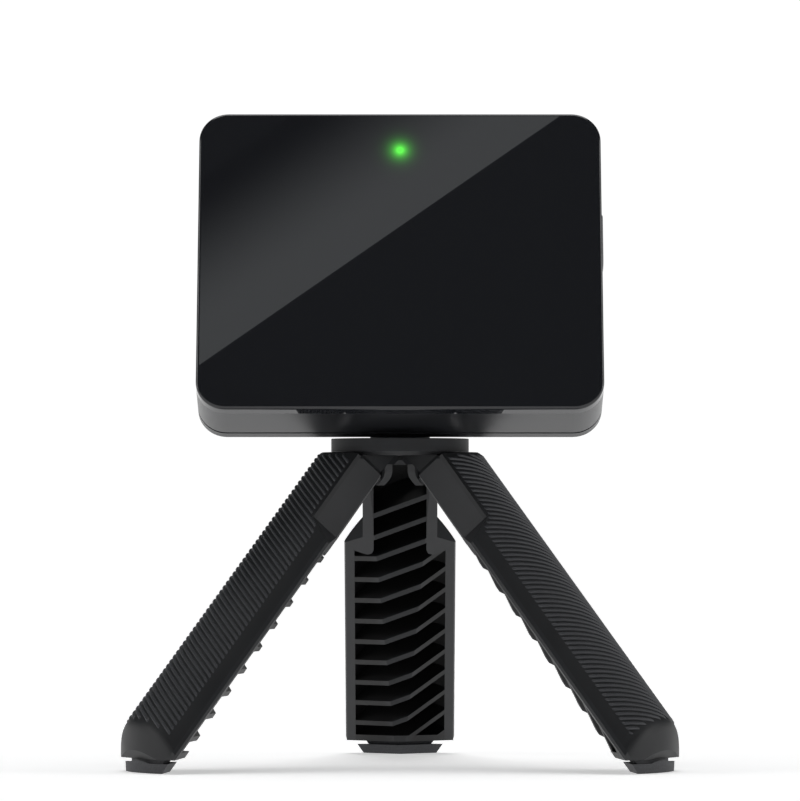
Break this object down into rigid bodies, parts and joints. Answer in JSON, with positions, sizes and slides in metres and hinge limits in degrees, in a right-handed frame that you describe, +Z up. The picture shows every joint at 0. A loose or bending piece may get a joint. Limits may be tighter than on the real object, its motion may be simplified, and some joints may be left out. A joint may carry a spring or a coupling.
{
  "type": "launch monitor",
  "caption": "Portable radar golf launch monitor: a leaned-back flat rounded head with a gloss lens on a small folding three-leg stand with ribbed grips.",
  "frame": {"origin": "on the floor, at the centre of the overall footprint", "axes": "+Z up, -Y towards the player (the lens side), +X to the right seen from the lens side"},
  "size_m": [0.1212, 0.1086, 0.1444],
  "materials": {
    "gloss_lens": "polished gloss black",
    "housing_plastic": "satin black",
    "adhesive_foam": "matte black foam tape",
    "seal_rubber": "matte black silicone",
    "brass": "turned brass",
    "steel": "plain steel",
    "board_laminate": "solder mask over glass laminate",
    "copper_patch": "gold-flashed copper",
    "chip_epoxy": "moulded epoxy",
    "tin_can": "tin-plated steel",
    "connector_plastic": "moulded nylon",
    "led_resin": "clear resin over a green die",
    "clear_pipe": "clear polycarbonate",
    "cell_pouch": "laminated foil pouch",
    "wire_insulation": "silicone insulation",
    "stand_plastic": "fine-textured glass-filled nylon",
    "grip_rubber": "soft-touch ribbed overmould",
    "foot_rubber": "matte rubber"
  },
  "bodies": {
    "tripod_hub": {"hub_body": "stand_plastic", "stud_plate": "steel", "plate_screws": "steel", "mount_pad": "seal_rubber", "hinge_pins": "steel"},
    "head": {"front_lens": "gloss_lens", "lens_adhesive": "adhesive_foam", "front_housing": "housing_plastic", "housing_seal": "seal_rubber", "rear_housing": "housing_plastic", "thread_insert": "brass", "housing_screws": "steel", "antenna_board": "board_laminate", "antenna_patches": "copper_patch", "radar_chip": "chip_epoxy", "radar_shield": "tin_can", "main_board": "board_laminate", "board_screws": "steel", "main_chips": "chip_epoxy", "main_shield": "tin_can", "board_connector": "connector_plastic", "usb_receptacle": "steel", "power_switch": "connector_plastic", "status_led": "led_resin", "light_pipe": "clear_pipe", "battery_pack": "cell_pouch", "battery_foam": "adhesive_foam", "battery_lead": "wire_insulation"},
    "power_key": {"power_key": "seal_rubber"},
    "usb_cap": {"usb_cap": "seal_rubber"},
    "front_left_leg": {"front_left_leg_frame": "stand_plastic", "front_left_leg_grip": "grip_rubber", "front_left_leg_foot": "foot_rubber"},
    "front_right_leg": {"front_right_leg_frame": "stand_plastic", "front_right_leg_grip": "grip_rubber", "front_right_leg_foot": "foot_rubber"},
    "rear_leg": {"rear_leg_frame": "stand_plastic", "rear_leg_grip": "grip_rubber", "rear_leg_foot": "foot_rubber"}
  },
  "joints": [
    {"name": "head_turn", "type": "hinge", "parent": "tripod_hub", "child": "head", "pos_m": [0, -0.01201, 0.0733], "axis": [0, 0, 1], "continuous": true},
    {"name": "power_key_press", "type": "slide", "parent": "head", "child": "power_key", "axis": [-1, 0, 0], "range_m": [0, 0.0005], "stiffness_N_per_m": 3000, "springref_m": -0.0003},
    {"name": "usb_cap_flap", "type": "hinge", "parent": "head", "child": "usb_cap", "pos_m": [-0.0445, -0.01933, 0.09491], "axis": [0, -0.9373, 0.3486], "range_deg": [0, 100]},
    {"name": "front_left_leg_fold", "type": "hinge", "parent": "tripod_hub", "child": "front_left_leg", "pos_m": [-0.0039, -0.01426, 0.0697], "axis": [0.5, -0.866, 0], "range_deg": [0, 39]},
    {"name": "front_right_leg_fold", "type": "hinge", "parent": "tripod_hub", "child": "front_right_leg", "pos_m": [0.0039, -0.01426, 0.0697], "axis": [0.5, 0.866, 0], "range_deg": [0, 39]},
    {"name": "rear_leg_fold", "type": "hinge", "parent": "tripod_hub", "child": "rear_leg", "pos_m": [0, -0.00751, 0.0697], "axis": [-1, 0, 0], "range_deg": [0, 39]}
  ]
}
